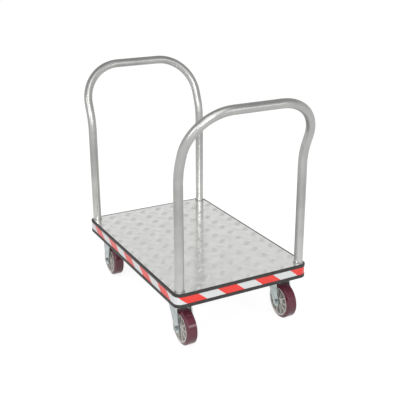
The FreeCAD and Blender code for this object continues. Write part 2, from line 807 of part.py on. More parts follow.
def axle_bushing(x, y, towards):
    """The sleeve that the rollers run on, clamped between the fork's legs."""
    bushing = bored("axle_bushing", solid_cylinder("bushing_outside", "bushing_radius", "fork_gap"),
                    solid_cylinder("bushing_bore", "axle_diameter / 2 + axle_clearance", "fork_gap"))
    place(bushing, x, f"{y} {OPPOSITE[towards]} fork_gap / 2", "wheel_radius", ALONG_Y[towards])
    return bushing


def make_tread(label, x, y):
    """A tyre cast on the hub's rim: a flat crown between two sloping sides."""
    body = new_body(label)
    section = new_sketch(body, "XY_Plane")
    draw_outline(section, [
        ("rim_radius", "-rim_width / 2"),
        ("wheel_radius", "-tread_width / 2"),
        ("wheel_radius", "tread_width / 2"),
        ("rim_radius", "rim_width / 2"),
    ])
    revolve(body, section)
    fillet(body, "tread_shoulder",
           lambda edge: hasattr(edge.Curve, "Radius") and near(edge.Curve.Radius, "wheel_radius"))
    place(body, x, y, "wheel_radius")


def make_hub(label, x, y):
    """A cast hub: boss, web and rim turned in one, with radial ribs on both sides of the web."""
    body = new_body(label)
    half = [
        ("hub_bore_radius", "hub_length / 2"),
        ("boss_radius", "hub_length / 2"),
        ("boss_radius", "web_thickness / 2"),
        ("rim_inner_radius", "web_thickness / 2"),
        ("rim_inner_radius", "rim_width / 2"),
        ("rim_radius", "rim_width / 2"),
    ]
    section = new_sketch(body, "XY_Plane")
    draw_outline(section, half + [(radius, f"-{reach}") for radius, reach in reversed(half)])
    revolve(body, section)
    rib = new_sketch(body, "XY_Plane")
    inner, outer = "boss_radius - hub_rib_thickness / 2", "rim_inner_radius + rim_thickness / 2"
    draw_outline(rib, [
        (inner, "-hub_rib_boss_reach / 2"),
        (outer, "-hub_rib_rim_reach / 2"),
        (outer, "hub_rib_rim_reach / 2"),
        (inner, "hub_rib_boss_reach / 2"),
    ])
    first = pad(body, rib, "hub_rib_thickness", symmetric=True)
    pattern = body.newObject("PartDesign::PolarPattern", f"{body.Name}_ribs")
    pattern.Originals = [first]
    pattern.Axis = (origin_feature(body, "Y_Axis"), [""])
    pattern.Angle = 360
    pattern.setExpression("Occurrences", bound("hub_rib_count"))
    body.Tip = pattern
    place(body, x, y, "wheel_radius")


def make_bearing(label, x, y):
    """A roller bearing: a ring of rollers between two end rings, inside the hub's bore."""
    members = []
    roller_length = "hub_length - 2 * cage_thickness"
    for index in range(int(size("roller_count"))):
        roller = solid_cylinder("roller", "roller_diameter / 2", roller_length)
        turn = f"360 * {index} / roller_count"
        place(roller, f"{x} + roller_pitch * cos({turn})", f"{y} - ({roller_length}) / 2",
              f"wheel_radius + roller_pitch * sin({turn})", ALONG_Y["+"])
        members.append(roller)
    for start in ("-hub_length / 2", "hub_length / 2 - cage_thickness"):
        outside = solid_cylinder("cage_outside", "hub_bore_radius - cage_clearance", "cage_thickness")
        inside = solid_cylinder("cage_inside", "bushing_radius + cage_clearance", "cage_thickness")
        ring = bored("cage_ring", outside, inside)
        place(ring, x, f"{y} + {start}", "wheel_radius", ALONG_Y["+"])
        members.append(ring)
    new_group(label, members)


def make_washers(label, x, y):
    """The two washers between the hub's ends and the fork's legs."""
    members = []
    for start in ("hub_length / 2", "-hub_length / 2 - washer_thickness"):
        outside = solid_cylinder("washer_outside", "washer_diameter / 2", "washer_thickness")
        inside = solid_cylinder("washer_inside", "bushing_radius + washer_clearance", "washer_thickness")
        ring = bored("washer", outside, inside)
        place(ring, x, f"{y} + {start}", "wheel_radius", ALONG_Y["+"])
        members.append(ring)
    new_group(label, members)


def make_caster_fasteners():
    """The bolts and nuts that hold the four casters to the bolsters."""
    bolts, nuts = [], []
    for end in "+-":
        for side in "+-":
            for x, y in bolt_places(f"{end}caster_x", f"{side}caster_y"):
                head = solid_hexagon("bolt_head", "bolt_head_flats", "bolt_head_height")
                shank = solid_cylinder(
                    "bolt_shank", "bolt_diameter / 2", "bolt_head_height + top_plate_thickness"
                    " + bolster_thickness + bolt_nut_height + bolt_tail")
                bolt = joined("caster_bolt", head, shank)
                place(bolt, x, y, "top_plate_underside - bolt_head_height")
                bolts.append(bolt)
                nut = nut_blank("caster_nut", "bolt_head_flats", "bolt_nut_height", "bolt_diameter / 2")
                place(nut, x, y, "rail_bottom")
                nuts.append(nut)
    new_group("caster_bolts", bolts)
    new_group("caster_nuts", nuts)


make_deck_plate()
make_rail("left_rail", "deck_length - 2 * corner_size", "0", "deck_width / 2", 0)
make_rail("right_rail", "deck_length - 2 * corner_size", "0", "-deck_width / 2", 180)
make_rail("front_rail", "deck_width - 2 * corner_size", "deck_length / 2", "0", -90)
make_rail("rear_rail", "deck_width - 2 * corner_size", "-deck_length / 2", "0", 90)
make_corner_socket("front_left_corner", "+", "+", 0)
make_corner_socket("rear_left_corner", "-", "+", 90)
make_corner_socket("rear_right_corner", "-", "-", 180)
make_corner_socket("front_right_corner", "+", "-", 270)
make_bolster("front_bolster", "+")
make_bolster("rear_bolster", "-")
make_stiffener("left_stiffener", "+", 0)
make_stiffener("right_stiffener", "-", 180)
make_bumper()
make_tape()
make_handle("front_handle", "+", 0)
make_handle("rear_handle", "-", 180)
make_kingpins()
make_caster_fasteners()

rear_axles = []
for side, sign in (("left", "+"), ("right", "-")):
    across = f"{sign}caster_y"
    for end, x, wheel_x, swivel in (("front", "caster_x", "front_wheel_x", True),
                                    ("rear", "-caster_x", "-caster_x", False)):
        corner = f"{end}_{side}"
        make_top_plate(f"{corner}_top_plate", x, across, swivel)
        make_fork(f"{corner}_fork", x, across, swivel)
        make_tread(f"{corner}_tread", wheel_x, across)
        make_hub(f"{corner}_hub", wheel_x, across)
        make_bearing(f"{corner}_roller_bearing", wheel_x, across)
        make_washers(f"{corner}_thrust_washers", wheel_x, across)
        # The swivel casters carry their axle nuts outside, the fixed ones inside.
        towards = sign if swivel else OPPOSITE[sign]
        axle = [make(wheel_x, across, towards) for make in (axle_bolt, axle_nut, axle_bushing)]
        if swivel:
            make_balls(f"{corner}_swivel_balls", x, across)
            for piece, kind in zip(axle, ("axle_bolt", "axle_nut", "axle_bushing")):
                new_part(f"{corner}_{kind}", piece)
        else:
            rear_axles.append(axle)
for label, pieces in zip(("rear_axle_bolts", "rear_axle_nuts", "rear_axle_bushings"), zip(*rear_axles)):
    new_group(label, list(pieces))

doc.recompute()
failed = [thing.Label for thing in doc.Objects if {"Invalid", "Error"} & set(thing.State)]
if failed:
    raise RuntimeError(f"failed objects: {failed}")
for part in parts:
    if part.Shape.isNull() or not part.Shape.isValid() or not part.Shape.Solids:
        raise RuntimeError(f"{part.Label} has no valid shape")

os.makedirs("parts", exist_ok=True)
for part in parts:
    part.Shape.exportStep(f"parts/{part.Label}.step")
print(f"{len(parts)} sub-parts written")
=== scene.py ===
import json
import math

import bpy
from mathutils import Matrix, Vector


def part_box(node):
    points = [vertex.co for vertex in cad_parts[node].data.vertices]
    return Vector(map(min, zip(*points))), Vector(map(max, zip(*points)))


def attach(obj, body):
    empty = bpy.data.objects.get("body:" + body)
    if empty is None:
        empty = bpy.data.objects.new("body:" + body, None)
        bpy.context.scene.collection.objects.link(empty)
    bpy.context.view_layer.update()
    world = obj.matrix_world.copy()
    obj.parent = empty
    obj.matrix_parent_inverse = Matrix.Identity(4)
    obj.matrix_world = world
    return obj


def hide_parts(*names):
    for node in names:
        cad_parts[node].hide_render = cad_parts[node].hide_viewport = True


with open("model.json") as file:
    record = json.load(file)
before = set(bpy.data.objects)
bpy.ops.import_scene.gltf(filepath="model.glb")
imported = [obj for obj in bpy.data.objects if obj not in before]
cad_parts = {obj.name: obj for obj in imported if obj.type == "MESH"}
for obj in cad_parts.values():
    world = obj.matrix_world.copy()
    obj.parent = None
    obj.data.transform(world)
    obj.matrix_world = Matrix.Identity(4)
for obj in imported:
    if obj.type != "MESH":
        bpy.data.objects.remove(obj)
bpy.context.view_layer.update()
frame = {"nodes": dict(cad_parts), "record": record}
nodes = frame["nodes"]

# Sizes of the truck in metres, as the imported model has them.
DECK_LENGTH = 0.932
DECK_WIDTH = 0.6096
DECK_CORNER = 0.0254
DECK_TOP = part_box("deck_plate")[1].z
UPRIGHT_X = 0.44396
UPRIGHT_Y = 0.28276
TUBE_RADIUS = 0.01905
CASTER_X = 0.355
CASTER_Y = 0.2405
FRONT_WHEEL_X = 0.403
WHEEL_RADIUS = 0.0762
FORK_WIDTH = 0.0746
BOLT_SPACING_X = 0.0921
BOLT_SPACING_Y = 0.0667
TOP_PLATE_UNDERSIDE = 0.1841
FRAME_BOTTOM = 0.2032

# Uprights get a painted highlight from the deck up to the first height; handles bend outwards above the
# second.
PAINTED_SHEEN_TOP = 0.60
BEND_FOOT = 0.75
# Share of its colour the tube shows at the deck and at the painted highlight's top; painted highlight added
# at the bend.
TUBE_AT_DECK = 1.0
TUBE_AT_PAINTED_SHEEN_TOP = 0.68
TUBE_PAINTED_HIGHLIGHT_AT_BEND = 0.12

# A mottled finish: how far its grain moves the tone, the tone without it, and what fills the range of tones;
# the part of the grain that fills the range of roughness; the strength of its bump.
TONE_GRAIN = 0.45
TONE_BASE = 0.28
TONE_LOW = 0.16
TONE_HIGH = 0.36
GRAIN_LOW = 0.3
GRAIN_HIGH = 0.7
BUMP_STRENGTH = 0.5

# How far a hub's pocket floors and its outer faces lie from the wheel's middle plane; painted shade in the
# pockets fades out between them.
HUB_POCKET = 0.010
HUB_FACE = 0.021

# The five-bar relief of the deck: groups of five bars, every second group turned the other way.
GROUP_STEP_X = 0.0733
GROUP_STEP_Y = 0.0828
GROUP_PHASE_X = 0.0145
GROUP_PHASE_Y = 0.0350
BARS_IN_GROUP = 5
BAR_PITCH = 0.0088
BAR_LENGTH = 0.027
BAR_WIDTH = 0.0052
BAR_HEIGHT = 0.00095
BAR_SIDES = 14
# A bar rises in two steps: each one's share of the height, and how far it draws in along and across the bar.
BAR_STEPS = ((0.55, (0.95, 0.78, 1)), (0.45, (0.86, 0.42, 1)))
# Bars start just below the plate's face, stop short of its edges and leave a bare ring round each upright.
BAR_SINK = 0.0001
RELIEF_MARGIN = 0.0015
BARE_RING = 0.012

# The reflective tape: red and white blocks with slanted ends.
TAPE_PERIOD = 0.1751
TAPE_RED_SHARE = 0.508
TAPE_FIRST_RED = -0.3882
TAPE_SLANT = 1.23
TAPE_THICKNESS = 0.0008
TAPE_CORNER_STEPS = 16
TAPE_CELL_UNIT_MM = 8.0
TAPE_CELL_CONTRAST = 0.6

# The weld beads: ripples round an upright, steps in a ripple, and the bead's size and place.
WELD_RIPPLES = 34
RIPPLE_STEPS = 4
BEAD_OUTSIDE_TUBE = 0.0008
BEAD_RADIUS = 0.0028
BEAD_CREST = 0.0003
BEAD_LIFT = 0.0004
BEAD_MARGIN = 0.0008

# Hex fasteners. The flat face's radius is a share of the flats, the drum's girth a share of the corners,
# and the thread's depth a share of its pitch.
HEX_FACE = 0.47
HEX_GIRTH = 1.03
HEX_SLOPE_DEGREES = 30
DRUM_SIDES = 60
ROD_SIDES = 28
THREAD_DEPTH = 0.55
TIP_LENGTH = 0.0012
TIP_NARROWING = 0.82

# Points closer than this are one point.
SAME_POINT = 1e-6

# Faces that meet at more than this many degrees keep a sharp edge.
CREASE = 35
FASTENER_CREASE = 30
RELIEF_CREASE = 40
BEAD_CREASE = 60

# The studio: metres, and levels of light where 1 shows as white.
FLOOR_SIZE = 40
FLOOR_FADE_START = 14.0
FLOOR_FADE_END = 19.5
FLOOR_NEAR = 0.82
FLOOR_FAR = 0.69
FLOOR_GREY = (0.32, 0.32, 0.32, 1)
WALL_LIGHT = 0.9
CEILING_LIGHT = 0.54
# The room's light falls off between these heights, as sines of the angle above the horizon.
WALL_TOP = 0.10
CEILING_START = 0.80
SOFTBOX_DISTANCE = 6.0
SOFTBOX_WIDTH = 1.6
SOFTBOX_TARGET = (0, 0, 0.5)

# The photograph's camera: degrees, metres and millimetres, and the shift as a share of the frame.
CAMERA_AZIMUTH = 61.191
CAMERA_ELEVATION = 20.409
CAMERA_PLACE = (2.83448, -1.47200, 1.62247)
CAMERA_LENS = 68.22
CAMERA_SENSOR = 36.0
CAMERA_SHIFT = (-0.01895, 0.00924)


# Finishes.
def linear(hex_colour):
    """An sRGB hex colour as linear red, green, blue and alpha."""
    channels = [int(hex_colour[place:place + 2], 16) / 255 for place in (1, 3, 5)]
    return [c / 12.92 if c <= 0.04045 else ((c + 0.055) / 1.055) ** 2.4 for c in channels] + [1.0]


def per_metre(millimetres):
    """How many features of this size fit in a metre, which is a texture's scale."""
    return 1000.0 / millimetres


def add_node(tree, kind, settings=None, inputs=None):
    """Add a node, set its properties, and fill its inputs with values or with other nodes' outputs."""
    node = tree.nodes.new(kind)
    for name, value in (settings or {}).items():
        setattr(node, name, value)
    for name, value in (inputs or {}).items():
        if isinstance(value, bpy.types.NodeSocket):
            tree.links.new(value, node.inputs[name])
        else:
            node.inputs[name].default_value = value
    return node


def new_finish(name, **constants):
    """A material with one principled shader, whose constant inputs are set on its own sockets."""
    material = bpy.data.materials.new(name)
    material.use_nodes = True
    tree = material.node_tree
    tree.nodes.clear()
    shader = add_node(tree, "ShaderNodeBsdfPrincipled")
    for socket, value in constants.items():
        shader.inputs[socket.replace("_", " ")].default_value = value
    output = add_node(tree, "ShaderNodeOutputMaterial")
    tree.links.new(shader.outputs["BSDF"], output.inputs["Surface"])
    return material, tree, shader


def mottled_finish(name, dark, light, rough, grain_mm, bump_mm, stretch=(1, 1, 1), cloud_mm=60.0,
                   **constants):
    """A finish whose colour drifts between two tones and whose fine grain roughens the surface."""
    material, tree, shader = new_finish(name, **constants)
    place = add_node(tree, "ShaderNodeTexCoord")
    turned = add_node(tree, "ShaderNodeMapping", None, {"Vector": place.outputs["Object"], "Scale": stretch})
    cloud = add_node(tree, "ShaderNodeTexNoise", None,
                     {"Vector": place.outputs["Object"], "Scale": per_metre(cloud_mm), "Detail": 4.0})
    grain = add_node(tree, "ShaderNodeTexNoise", None,
                     {"Vector": turned.outputs["Vector"], "Scale": per_metre(grain_mm), "Detail": 3.0})
    blend = add_node(tree, "ShaderNodeMath", {"operation": "MULTIPLY_ADD"},
                     {0: grain.outputs["Fac"], 1: TONE_GRAIN, 2: TONE_BASE})
    tone_at = add_node(tree, "ShaderNodeMath", {"operation": "MULTIPLY"},
                       {0: blend.outputs["Value"], 1: cloud.outputs["Fac"]})
    spread = add_node(tree, "ShaderNodeMapRange", None,
                      {"Value": tone_at.outputs["Value"], "From Min": TONE_LOW, "From Max": TONE_HIGH})
    tone = add_node(tree, "ShaderNodeMix", {"data_type": "RGBA"},
                    {0: spread.outputs["Result"], 6: linear(dark), 7: linear(light)})
    rough_at = add_node(tree, "ShaderNodeMapRange", None,
                        {"Value": grain.outputs["Fac"], "From Min": GRAIN_LOW, "From Max": GRAIN_HIGH,
                         "To Min": rough[0], "To Max": rough[1]})
    relief = add_node(tree, "ShaderNodeBump", None,
                      {"Height": grain.outputs["Fac"], "Strength": BUMP_STRENGTH, "Distance": bump_mm / 1000})
    tree.links.new(tone.outputs[2], shader.inputs["Base Color"])
    tree.links.new(rough_at.outputs["Result"], shader.inputs["Roughness"])
    tree.links.new(relief.outputs["Normal"], shader.inputs["Normal"])
    return material


def colour_of(material):
    """A finish's node tree, its shader, and the output that colours the shader."""
    tree = material.node_tree
    shader = next(node for node in tree.nodes if node.type == "BSDF_PRINCIPLED")
    return tree, shader, shader.inputs["Base Color"].links[0].from_socket


def tube_with_painted_sheen():
    """Extruded tube with a satin skin: soft long highlights, grey, with painted highlights paler towards the
    deck and at the bend.
    """
    material = mottled_finish("satin_extruded_aluminium", "#B4B4B2", "#C0C0BE", (0.32, 0.38), 4.0, 0.0015,
                              cloud_mm=70.0, Metallic=1.0)
    tree, shader, tone = colour_of(material)
    place = add_node(tree, "ShaderNodeTexCoord")
    split = add_node(tree, "ShaderNodeSeparateXYZ", None, {"Vector": place.outputs["Object"]})
    # Painted highlight: full colour at the deck, fading to a darker share higher up.
    painted_sheen = add_node(tree, "ShaderNodeMapRange", None,
                      {"Value": split.outputs["Z"], "From Min": DECK_TOP, "From Max": PAINTED_SHEEN_TOP,
                       "To Min": TUBE_AT_DECK, "To Max": TUBE_AT_PAINTED_SHEEN_TOP})
    # Painted highlight: brighter again from there towards the bend.
    above = add_node(tree, "ShaderNodeMapRange", None,
                     {"Value": split.outputs["Z"], "From Min": PAINTED_SHEEN_TOP, "From Max": BEND_FOOT,
                      "To Min": 0.0, "To Max": TUBE_PAINTED_HIGHLIGHT_AT_BEND})
    level = add_node(tree, "ShaderNodeMath", {"operation": "ADD"},
                     {0: painted_sheen.outputs["Result"], 1: above.outputs["Result"]})
    shown = add_node(tree, "ShaderNodeMix", {"data_type": "RGBA", "blend_type": "MULTIPLY"},
                     {0: 1.0, 6: tone, 7: level.outputs["Value"]})
    tree.links.new(shown.outputs[2], shader.inputs["Base Color"])
    return material


def cast_hub():
    """Sand cast aluminium: warm grey and grainy, with painted shade that darkens the pockets towards the
    wheel's middle plane.
    """
    material = mottled_finish("cast_aluminium", "#C4C1BC", "#D5D2CD", (0.38, 0.55), 1.8, 0.02, cloud_mm=20.0,
                              Metallic=0.35)
    tree, shader, tone = colour_of(material)
    place = add_node(tree, "ShaderNodeTexCoord")
    split = add_node(tree, "ShaderNodeSeparateXYZ", None, {"Vector": place.outputs["Object"]})
    across = add_node(tree, "ShaderNodeMath", {"operation": "ABSOLUTE"}, {0: split.outputs["Y"]})
    from_middle = add_node(tree, "ShaderNodeMath", {"operation": "SUBTRACT"},
                           {0: across.outputs["Value"], 1: CASTER_Y})
    outward = add_node(tree, "ShaderNodeMath", {"operation": "ABSOLUTE"}, {0: from_middle.outputs["Value"]})
    # Painted shade: darker towards the pocket floors, full tone on the rim and ribs' outer faces.
    turned = add_node(tree, "ShaderNodeMapRange", None,
                      {"Value": outward.outputs["Value"], "From Min": HUB_POCKET, "From Max": HUB_FACE})
    shown = add_node(tree, "ShaderNodeMix", {"data_type": "RGBA"},
                     {0: turned.outputs["Result"], 6: linear("#9A9794"), 7: tone})
    tree.links.new(shown.outputs[2], shader.inputs["Base Color"])
    return material


def reflective_sheeting():
    """Prismatic sheeting under a clear film: red and white blocks with fine cells, glossy on top."""
    material, tree, shader = new_finish("prismatic_reflective_sheeting", Coat_Weight=0.3, Coat_Roughness=0.08)
    along = add_node(tree, "ShaderNodeUVMap", {"uv_map": "along_band"})
    split = add_node(tree, "ShaderNodeSeparateXYZ", None, {"Vector": along.outputs["UV"]})
    middle = sum(corner.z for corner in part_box("reflective_tape")) / 2
    lifted = add_node(tree, "ShaderNodeMath", {"operation": "SUBTRACT"}, {0: split.outputs["Y"], 1: middle})
    slanted = add_node(tree, "ShaderNodeMath", {"operation": "MULTIPLY_ADD"},
                       {0: lifted.outputs["Value"], 1: TAPE_SLANT, 2: split.outputs["X"]})
    from_first = add_node(tree, "ShaderNodeMath", {"operation": "SUBTRACT"},
                          {0: slanted.outputs["Value"], 1: TAPE_FIRST_RED})
    blocks = add_node(tree, "ShaderNodeMath", {"operation": "DIVIDE"},
                      {0: from_first.outputs["Value"], 1: TAPE_PERIOD})
    within = add_node(tree, "ShaderNodeMath", {"operation": "FRACT"}, {0: blocks.outputs["Value"]})
    is_red = add_node(tree, "ShaderNodeMath", {"operation": "LESS_THAN"},
                      {0: within.outputs["Value"], 1: TAPE_RED_SHARE})
    colour = add_node(tree, "ShaderNodeMix", {"data_type": "RGBA"},
                      {0: is_red.outputs["Value"], 6: linear("#E4E7E7"), 7: linear("#F4382E")})
    # A cell is half a texture unit long and a quarter high, and the rows lie at 45 degrees to the tape.
    turned = add_node(tree, "ShaderNodeMapping", None,
                      {"Vector": along.outputs["UV"], "Rotation": (0, 0, math.radians(45))})
    cells = add_node(tree, "ShaderNodeTexBrick", {"offset": 0.5},
                     {"Vector": turned.outputs["Vector"], "Scale": per_metre(TAPE_CELL_UNIT_MM),
                      "Color1": linear("#FFFFFF"), "Color2": linear("#EDEDED"), "Mortar": linear("#D2D2D2"),
                      "Mortar Size": 0.04})
    shown = add_node(tree, "ShaderNodeMix", {"data_type": "RGBA", "blend_type": "MULTIPLY"},
                     {0: TAPE_CELL_CONTRAST, 6: colour.outputs[2], 7: cells.outputs["Color"]})
    gloss = add_node(tree, "ShaderNodeMapRange", None,
                     {"Value": cells.outputs["Fac"], "To Min": 0.28, "To Max": 0.42})
    tree.links.new(shown.outputs[2], shader.inputs["Base Color"])
    tree.links.new(gloss.outputs["Result"], shader.inputs["Roughness"])
    return material


finishes = {
    # Rolled plate straight from the mill: pale, clean, with faint rolling streaks along the deck.
    "tread_plate": mottled_finish("mill_finish_tread_plate", "#E8E8E6", "#F2F2F0", (0.12, 0.17), 3.0, 0.003,
                                  stretch=(0.06, 1, 1), cloud_mm=45.0, Metallic=1.0),
    "handle_tube": tube_with_painted_sheen(),
    # Extrusions and bars of the frame, dull and a little scuffed.
    "frame_aluminium": mottled_finish("mill_finish_aluminium", "#8F908E", "#A9AAA8", (0.34, 0.50), 4.0, 0.03,
                                      Metallic=1.0),
    # Extruded rubber: nearly black, a dull skin with a faint bloom.
    "bumper_rubber": mottled_finish("extruded_rubber", "#1E1E1D", "#302F2E", (0.48, 0.62), 1.2, 0.05,
                                    cloud_mm=25.0),
    "reflective_tape": reflective_sheeting(),
    # Bright zinc over pressed steel: pale, slightly blue, cloudy from the bath.
    "zinc_steel": mottled_finish("bright_zinc_plate", "#A0A9A9", "#BCC4C3", (0.26, 0.36), 5.0, 0.008,
                                 cloud_mm=18.0, Metallic=1.0),
    # Ground bearing steel: darker and sharper.
    "bearing_steel": mottled_finish("ground_bearing_steel", "#8C8E90", "#A6A8AA", (0.14, 0.24), 1.5, 0.01,
                                    Metallic=1.0),
    # Cast polyurethane: deep maroon, wet gloss, a faint haze where it rolls.
    "polyurethane_tread": mottled_finish("cast_polyurethane", "#562030", "#602737", (0.11, 0.15), 6.0, 0.0015,
                                         cloud_mm=30.0),
    "wheel_hub": cast_hub(),
    # Moulded nylon: black, half matt.
    "nylon_washer": mottled_finish("black_moulded_nylon", "#161617", "#232325", (0.40, 0.55), 1.0, 0.03),
}
# A weld bead: bright ripples of the same aluminium, smutty in small random patches.
weld_finish = mottled_finish("tig_welded_aluminium", "#9E9E9B", "#B8B8B5", (0.36, 0.50), 2.0, 0.03,
                             cloud_mm=8.0, Metallic=1.0)

for row in frame["record"]["subparts"]:
    shown = nodes[row["node"]].data.materials
    shown.clear()
    shown.append(finishes[row["material_slot"]])


# Shaping.
def open_piece(name):
    """Name the primitive that was just added and open it for shaping."""
    piece = bpy.context.object
    piece.name = name
    piece.data.name = name
    bpy.ops.object.mode_set(mode="EDIT")
    return piece


def only(piece):
    """Leave edit mode with just this piece selected."""
    if bpy.context.object and bpy.context.object.mode != "OBJECT":
        bpy.ops.object.mode_set(mode="OBJECT")
    bpy.ops.object.select_all(action="DESELECT")
    piece.select_set(True)
    bpy.context.view_layer.objects.active = piece


def select_points(wanted):
    """In edit mode, select the vertices for which wanted(vertex) holds, and nothing else."""
    bpy.ops.mesh.select_mode(type="VERT")
    bpy.ops.mesh.select_all(action="DESELECT")
    bpy.ops.object.mode_set(mode="OBJECT")
    for point in bpy.context.object.data.vertices:
        point.select = wanted(point)
    bpy.ops.object.mode_set(mode="EDIT")


def draw_out(rise, across=1.0):
    """Extrude the selection along +Z and then widen or narrow it."""
    bpy.ops.mesh.extrude_region_move(TRANSFORM_OT_translate={"value": (0, 0, rise)})
    if across != 1.0:
        bpy.ops.transform.resize(value=(across, across, 1), center_override=(0, 0, 0))


def apply_modifier(piece, name, kind, **settings):
    """Add a modifier with these settings and apply it at once."""
    only(piece)
    modifier = piece.modifiers.new(name, kind)
    for key, value in settings.items():
        setattr(modifier, key, value)
    bpy.ops.object.modifier_apply(modifier=name)


def repeat(piece, name, count, step):
    """Repeat a piece in a row, each copy one step on from the last."""
    apply_modifier(piece, name, "ARRAY", count=count, use_relative_offset=False, use_constant_offset=True,
                   constant_offset_displace=step)


def close_up(piece):
    """Merge doubled points and turn every face outwards."""
    only(piece)
    bpy.ops.object.mode_set(mode="EDIT")
    bpy.ops.mesh.select_all(action="SELECT")
    bpy.ops.mesh.remove_doubles(threshold=SAME_POINT)
    bpy.ops.mesh.normals_make_consistent(inside=False)
    bpy.ops.object.mode_set(mode="OBJECT")


def copy_piece(piece, name, matrix):
    """A copy with its own mesh, moved there by the matrix."""
    copy = piece.copy()
    copy.data = piece.data.copy()
    copy.name = copy.data.name = name
    copy.data.transform(matrix)
    bpy.context.scene.collection.objects.link(copy)
    return copy


def join_pieces(pieces, name):
    """Make the pieces one, under this name."""
    only(pieces[0])
    for piece in pieces:
        piece.select_set(True)
    bpy.ops.object.join()
    pieces[0].name = pieces[0].data.name = name
    return pieces[0]


def hand_over(piece, finish, body, stands_for=(), crease=CREASE):
    """Apply its place, smooth it, give it its finish and hang it on its body."""
    only(piece)
    bpy.ops.object.transform_apply(location=True, rotation=True, scale=True)
    bpy.ops.object.shade_smooth_by_angle(angle=math.radians(crease))
    piece.data.materials.clear()
    piece.data.materials.append(finish)
    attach(piece, body)
    if stands_for:
        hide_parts(*stands_for)


def remove(piece):
    """Take a piece that was only a pattern for copies out of the scene."""
    bpy.data.objects.remove(piece)


# The relief on the deck.
def make_one_bar():
    """One raised bar: a long lens that rises to a rounded ridge."""
    bpy.ops.mesh.primitive_circle_add(vertices=BAR_SIDES, radius=0.5, fill_type="NGON")
    bar = open_piece("tread_bar")
    bpy.ops.mesh.select_all(action="SELECT")
    bpy.ops.transform.resize(value=(BAR_LENGTH, BAR_WIDTH, 1))
    for rise, narrower in BAR_STEPS:
        bpy.ops.mesh.extrude_region_move(TRANSFORM_OT_translate={"value": (0, 0, rise * BAR_HEIGHT)})
        bpy.ops.transform.resize(value=narrower)
    bpy.ops.mesh.select_all(action="SELECT")
    bpy.ops.transform.translate(value=(0, -BAR_PITCH * (BARS_IN_GROUP - 1) / 2, 0))
    close_up(bar)
    return bar


def spread_groups(group, name, turn, shift_x, shift_y):
    """Turn a group of bars and repeat it over the whole deck."""
    sheet = copy_piece(group, name, Matrix.Rotation(math.radians(turn), 4, "Z"))
    columns = math.ceil(DECK_LENGTH / GROUP_STEP_X) + 2
    rows = math.ceil(DECK_WIDTH / GROUP_STEP_Y) + 2
    first_x = GROUP_PHASE_X + shift_x - GROUP_STEP_X * (columns // 2)
    first_y = GROUP_PHASE_Y + shift_y - GROUP_STEP_Y * (rows // 2)
    sheet.data.transform(Matrix.Translation((first_x, first_y, DECK_TOP - BAR_SINK)))
    repeat(sheet, "columns", columns, (GROUP_STEP_X, 0, 0))
    repeat(sheet, "rows", rows, (0, GROUP_STEP_Y, 0))
    return sheet


def cut_at_plate_edge(piece, margin):
    """Cut a piece that lies on the deck a little inside the plate's four straight edges."""
    only(piece)
    bpy.ops.object.mode_set(mode="EDIT")
    for axis, reach in ((Vector((1, 0, 0)), DECK_LENGTH / 2), (Vector((0, 1, 0)), DECK_WIDTH / 2)):
        for side in (axis, -axis):
            bpy.ops.mesh.select_all(action="SELECT")
            bpy.ops.mesh.bisect(plane_co=side * (reach - margin), plane_no=side, use_fill=True,
                                clear_outer=True)
    bpy.ops.object.mode_set(mode="OBJECT")


def at_corner(point):
    """Whether a vertex on the deck lies close round an upright, or past it towards the deck's corner."""
    past_x = abs(point.co.x) - UPRIGHT_X
    past_y = abs(point.co.y) - UPRIGHT_Y
    return math.hypot(past_x, past_y) < TUBE_RADIUS + BARE_RING or (past_x > 0 and past_y > 0)


def leave_out_corner_bars(relief, points_in_bar):
    """Leave out the bars that would run under the uprights or past the round corners."""
    points = relief.data.vertices
    dropped = set()
    for first in range(0, len(points), points_in_bar):
        bar = range(first, first + points_in_bar)
        if any(at_corner(points[i]) for i in bar):
            dropped.update(bar)
    only(relief)
    bpy.ops.object.mode_set(mode="EDIT")
    select_points(lambda point: point.index in dropped)
    bpy.ops.mesh.delete(type="VERT")
    bpy.ops.object.mode_set(mode="OBJECT")


def make_deck_relief():
    """The raised bars of the deck: two sheets of groups, turned opposite ways and set between each other."""
    bar = make_one_bar()
    points_in_bar = len(bar.data.vertices)
    repeat(bar, "group", BARS_IN_GROUP, (0, BAR_PITCH, 0))
    diagonal = math.degrees(math.atan2(GROUP_STEP_Y, GROUP_STEP_X))
    right_hand = spread_groups(bar, "right_hand_bars", diagonal, 0, 0)
    left_hand = spread_groups(bar, "left_hand_bars", -diagonal, GROUP_STEP_X / 2, GROUP_STEP_Y / 2)
    remove(bar)
    relief = join_pieces([right_hand, left_hand], "tread_bars")
    leave_out_corner_bars(relief, points_in_bar)
    cut_at_plate_edge(relief, RELIEF_MARGIN)
    hand_over(relief, finishes["tread_plate"], "chassis", crease=RELIEF_CREASE)


# The tape.
def band_length(point, centre, reach_x, reach_y, radius):
    """How far along the tape a point lies, for a face with this centre; 0 is the middle of the right side."""
    quarter = math.pi / 2 * radius
    x, y = point.x, point.y
    if centre.x > reach_x:
        if centre.y < -reach_y:
            return reach_x + (math.atan2(y + reach_y, x - reach_x) + math.pi / 2) * radius
        if centre.y <= reach_y:
            return reach_x + quarter + y + reach_y
        return reach_x + quarter + 2 * reach_y + math.atan2(y - reach_y, x - reach_x) * radius
    if centre.x >= -reach_x:
        if centre.y < 0:
            return x
        return 2 * reach_x + 2 * quarter + 2 * reach_y - x
    if centre.y < -reach_y:
        return -reach_x - math.atan2(-reach_x - x, -y - reach_y) * radius
    if centre.y <= reach_y:
        return -reach_x - quarter - (y + reach_y)
    return -reach_x - quarter - 2 * reach_y - math.atan2(y - reach_y, -reach_x - x) * radius


